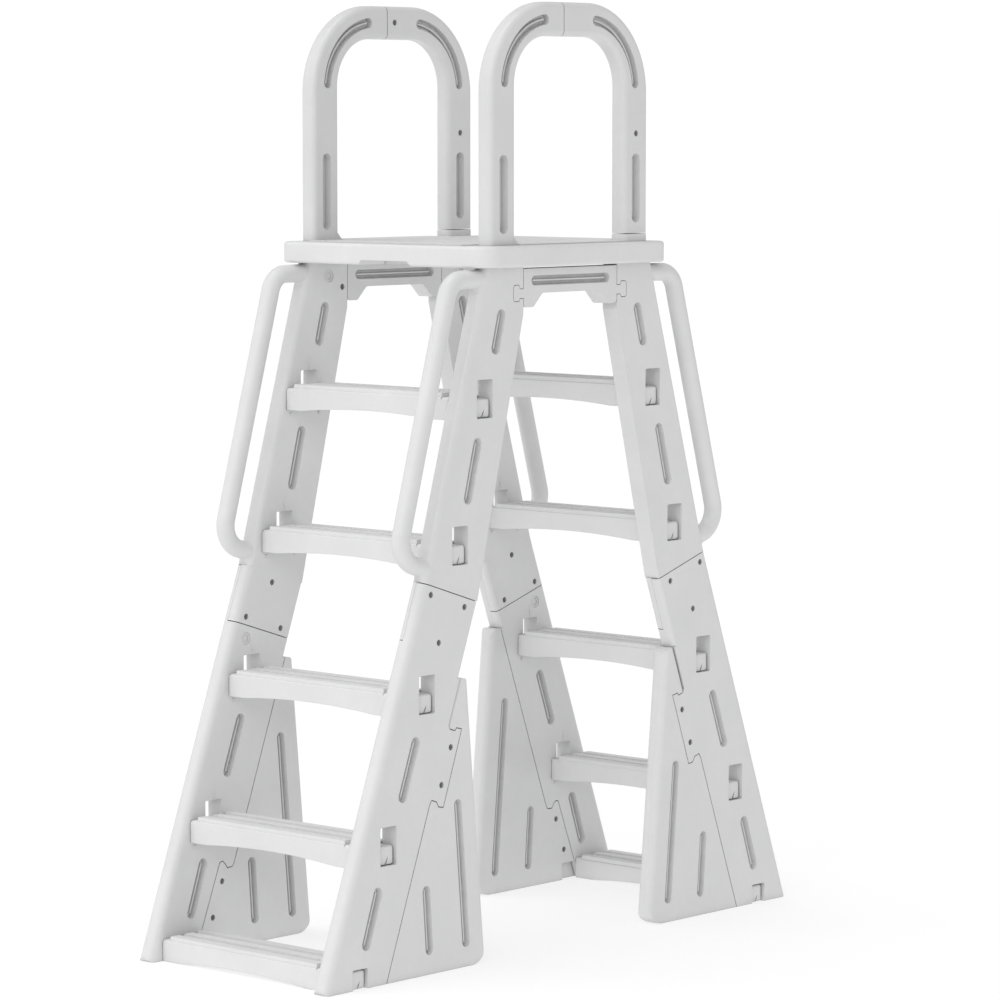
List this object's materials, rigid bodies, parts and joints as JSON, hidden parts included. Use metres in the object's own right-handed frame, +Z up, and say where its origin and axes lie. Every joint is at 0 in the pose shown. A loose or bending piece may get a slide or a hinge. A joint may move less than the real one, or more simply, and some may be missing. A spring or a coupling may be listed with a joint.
{
  "type": "pool ladder",
  "caption": "Free-standing A-frame pool ladder with a deck, handrail hoops, grab loops on the rails and lift-out treads.",
  "frame": {"origin": "on the ground, at the centre of the footprint", "axes": "+Z up, +X across the ladder to the climber's right at the -Y side, +Y the way the climber goes over the deck"},
  "size_m": [0.544, 1.3324, 1.786],
  "materials": {
    "rail_resin": "satin white moulded resin with a fine grain",
    "hoop_resin": "satin white moulded resin with a fine grain",
    "deck_resin": "satin white moulded resin, non-slip top",
    "tread_resin": "satin white moulded resin, ribbed top",
    "screw_steel": "black coated screw"
  },
  "bodies": {
    "frame": {"upper_rail_right_rear": "rail_resin", "upper_rail_right_front": "rail_resin", "upper_rail_left_rear": "rail_resin", "upper_rail_left_front": "rail_resin", "lower_rail_right_rear": "rail_resin", "lower_rail_right_front": "rail_resin", "lower_rail_left_rear": "rail_resin", "lower_rail_left_front": "rail_resin", "foot_wing_right_rear": "rail_resin", "foot_wing_right_front": "rail_resin", "foot_wing_left_rear": "rail_resin", "foot_wing_left_front": "rail_resin", "top_brace_right": "rail_resin", "top_brace_left": "rail_resin", "hoop_right_front": "hoop_resin", "hoop_right_rear": "hoop_resin", "hoop_left_front": "hoop_resin", "hoop_left_rear": "hoop_resin", "platform_deck": "deck_resin", "tread_front_5": "tread_resin", "tread_rear_5": "tread_resin", "lap_screws": "screw_steel", "wing_screws": "screw_steel", "brace_screws": "screw_steel", "hoop_screws": "screw_steel"},
    "tread_front_1_body": {"tread_front_1": "tread_resin"},
    "tread_front_2_body": {"tread_front_2": "tread_resin"},
    "tread_front_3_body": {"tread_front_3": "tread_resin"},
    "tread_front_4_body": {"tread_front_4": "tread_resin"},
    "tread_rear_1_body": {"tread_rear_1": "tread_resin"},
    "tread_rear_2_body": {"tread_rear_2": "tread_resin"},
    "tread_rear_3_body": {"tread_rear_3": "tread_resin"},
    "tread_rear_4_body": {"tread_rear_4": "tread_resin"}
  },
  "joints": [
    {"name": "lift_front_1", "type": "slide", "parent": "frame", "child": "tread_front_1_body", "axis": [0, 0, 1], "range_m": [0, 0.032]},
    {"name": "lift_front_2", "type": "slide", "parent": "frame", "child": "tread_front_2_body", "axis": [0, 0, 1], "range_m": [0, 0.032]},
    {"name": "lift_front_3", "type": "slide", "parent": "frame", "child": "tread_front_3_body", "axis": [0, 0, 1], "range_m": [0, 0.032]},
    {"name": "lift_front_4", "type": "slide", "parent": "frame", "child": "tread_front_4_body", "axis": [0, 0, 1], "range_m": [0, 0.032]},
    {"name": "lift_rear_1", "type": "slide", "parent": "frame", "child": "tread_rear_1_body", "axis": [0, 0, 1], "range_m": [0, 0.032]},
    {"name": "lift_rear_2", "type": "slide", "parent": "frame", "child": "tread_rear_2_body", "axis": [0, 0, 1], "range_m": [0, 0.032]},
    {"name": "lift_rear_3", "type": "slide", "parent": "frame", "child": "tread_rear_3_body", "axis": [0, 0, 1], "range_m": [0, 0.032]},
    {"name": "lift_rear_4", "type": "slide", "parent": "frame", "child": "tread_rear_4_body", "axis": [0, 0, 1], "range_m": [0, 0.032]}
  ]
}
